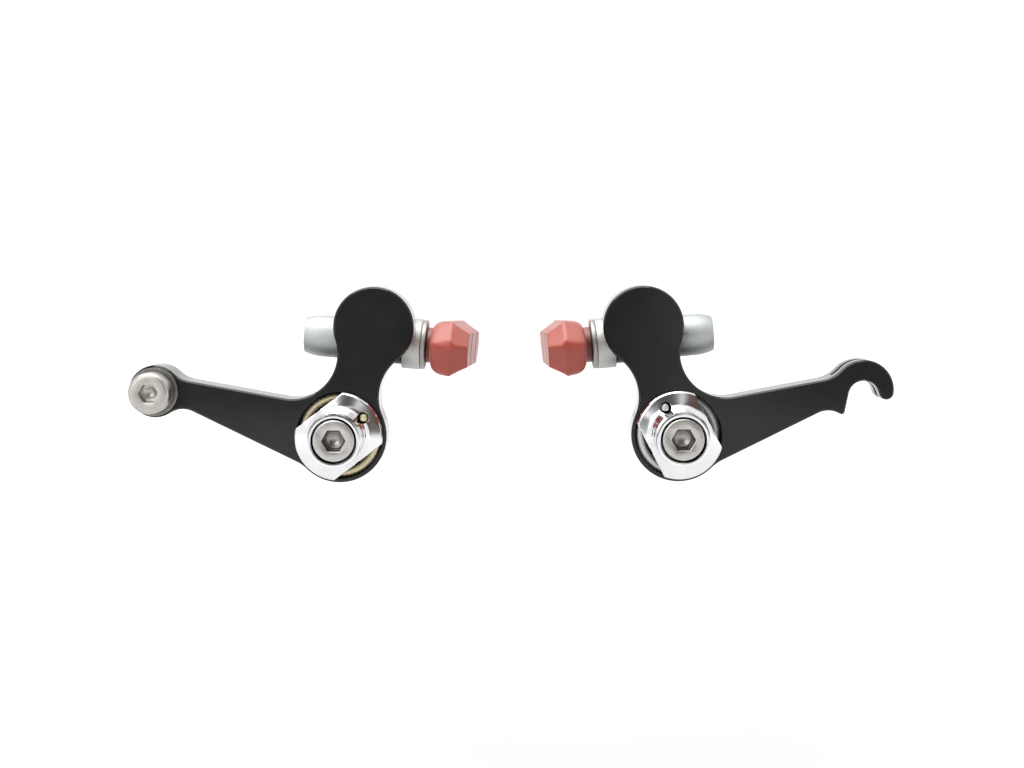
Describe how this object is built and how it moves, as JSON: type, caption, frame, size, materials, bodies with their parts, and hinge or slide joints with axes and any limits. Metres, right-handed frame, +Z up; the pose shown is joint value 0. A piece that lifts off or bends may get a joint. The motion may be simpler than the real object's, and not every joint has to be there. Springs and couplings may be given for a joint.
{
  "type": "cantilever brake",
  "caption": "Bicycle cantilever rim brake: machined lever arms that swing on sprung pivots, one with a cable anchor and one with a straddle cable hook, and rubber pads on ball seats.",
  "frame": {"origin": "midway between the two pivot axes, on the plane where the sleeves meet the frame's bosses", "axes": "+X across the wheel from the anchor arm to the hook arm, +Y into the frame, +Z up"},
  "size_m": [0.1858, 0.0531, 0.0476],
  "materials": {
    "black_anodised": "satin black anodised",
    "polished_cap": "polished",
    "stainless_bolt": "satin stainless",
    "gold_spring": "yellow zinc plated",
    "silver_spring": "bright plated",
    "bushing_bronze": "plain bearing bronze",
    "sleeve_steel": "ground",
    "dark_washer": "black oxide",
    "satin_spacer": "satin",
    "satin_nut": "satin",
    "thin_washer": "satin",
    "stud_steel": "plated",
    "pad_rubber": "matt salmon"
  },
  "bodies": {
    "boss_side": {"left_pivot_sleeve": "sleeve_steel", "left_pivot_bolt": "stainless_bolt", "right_pivot_sleeve": "sleeve_steel", "right_pivot_bolt": "stainless_bolt"},
    "left_adjuster": {"left_tension_cap": "polished_cap", "left_return_spring": "gold_spring"},
    "left_lever": {"left_arm": "black_anodised", "left_pivot_bushing": "bushing_bronze", "left_inner_dome_washer": "dark_washer", "left_outer_dome_washer": "dark_washer", "left_anchor_bolt": "stainless_bolt", "left_anchor_washer": "stainless_bolt"},
    "left_pad_seat": {"left_pad_spacer": "satin_spacer", "left_pad_nut": "satin_nut"},
    "left_pad_set": {"left_brake_pad": "pad_rubber", "left_pad_stud": "stud_steel", "left_pad_washer": "thin_washer"},
    "right_adjuster": {"right_tension_cap": "polished_cap", "right_return_spring": "silver_spring"},
    "right_lever": {"right_arm": "black_anodised", "right_pivot_bushing": "bushing_bronze", "right_inner_dome_washer": "dark_washer", "right_outer_dome_washer": "dark_washer"},
    "right_pad_seat": {"right_pad_spacer": "satin_spacer", "right_pad_nut": "satin_nut"},
    "right_pad_set": {"right_brake_pad": "pad_rubber", "right_pad_stud": "stud_steel", "right_pad_washer": "thin_washer"}
  },
  "joints": [
    {"name": "left_tension_turn", "type": "hinge", "parent": "boss_side", "child": "left_adjuster", "pos_m": [-0.04125, 0, 0], "axis": [0, 1, 0], "range_deg": [-20, 60], "deforming": ["left_return_spring"]},
    {"name": "left_arm_swing", "type": "hinge", "parent": "boss_side", "child": "left_lever", "pos_m": [-0.04125, 0, 0], "axis": [0, 1, 0], "range_deg": [-30, 10], "stiffness_Nm_per_rad": 1, "deforming": ["left_return_spring"]},
    {"name": "left_pad_toe", "type": "hinge", "parent": "left_lever", "child": "left_pad_seat", "pos_m": [-0.03271, -0.0056, 0.0226], "axis": [0.0872, 0, 0.9962], "range_deg": [-1.4, 4.6]},
    {"name": "left_pad_twist", "type": "hinge", "parent": "left_pad_seat", "child": "left_pad_set", "pos_m": [-0.03271, -0.0056, 0.0226], "axis": [0.9958, -0.0279, -0.0871], "range_deg": [-12, 12]},
    {"name": "right_tension_turn", "type": "hinge", "parent": "boss_side", "child": "right_adjuster", "pos_m": [0.04125, 0, 0], "axis": [0, -1, 0], "range_deg": [-20, 60], "deforming": ["right_return_spring"]},
    {"name": "right_arm_swing", "type": "hinge", "parent": "boss_side", "child": "right_lever", "pos_m": [0.04125, 0, 0], "axis": [0, -1, 0], "range_deg": [-30, 10], "stiffness_Nm_per_rad": 1, "deforming": ["right_return_spring"]},
    {"name": "right_pad_toe", "type": "hinge", "parent": "right_lever", "child": "right_pad_seat", "pos_m": [0.03271, -0.0056, 0.0226], "axis": [0.0872, 0, -0.9962], "range_deg": [-1.4, 4.6]},
    {"name": "right_pad_twist", "type": "hinge", "parent": "right_pad_seat", "child": "right_pad_set", "pos_m": [0.03271, -0.0056, 0.0226], "axis": [-0.9958, -0.0279, -0.0871], "range_deg": [-12, 12]}
  ]
}
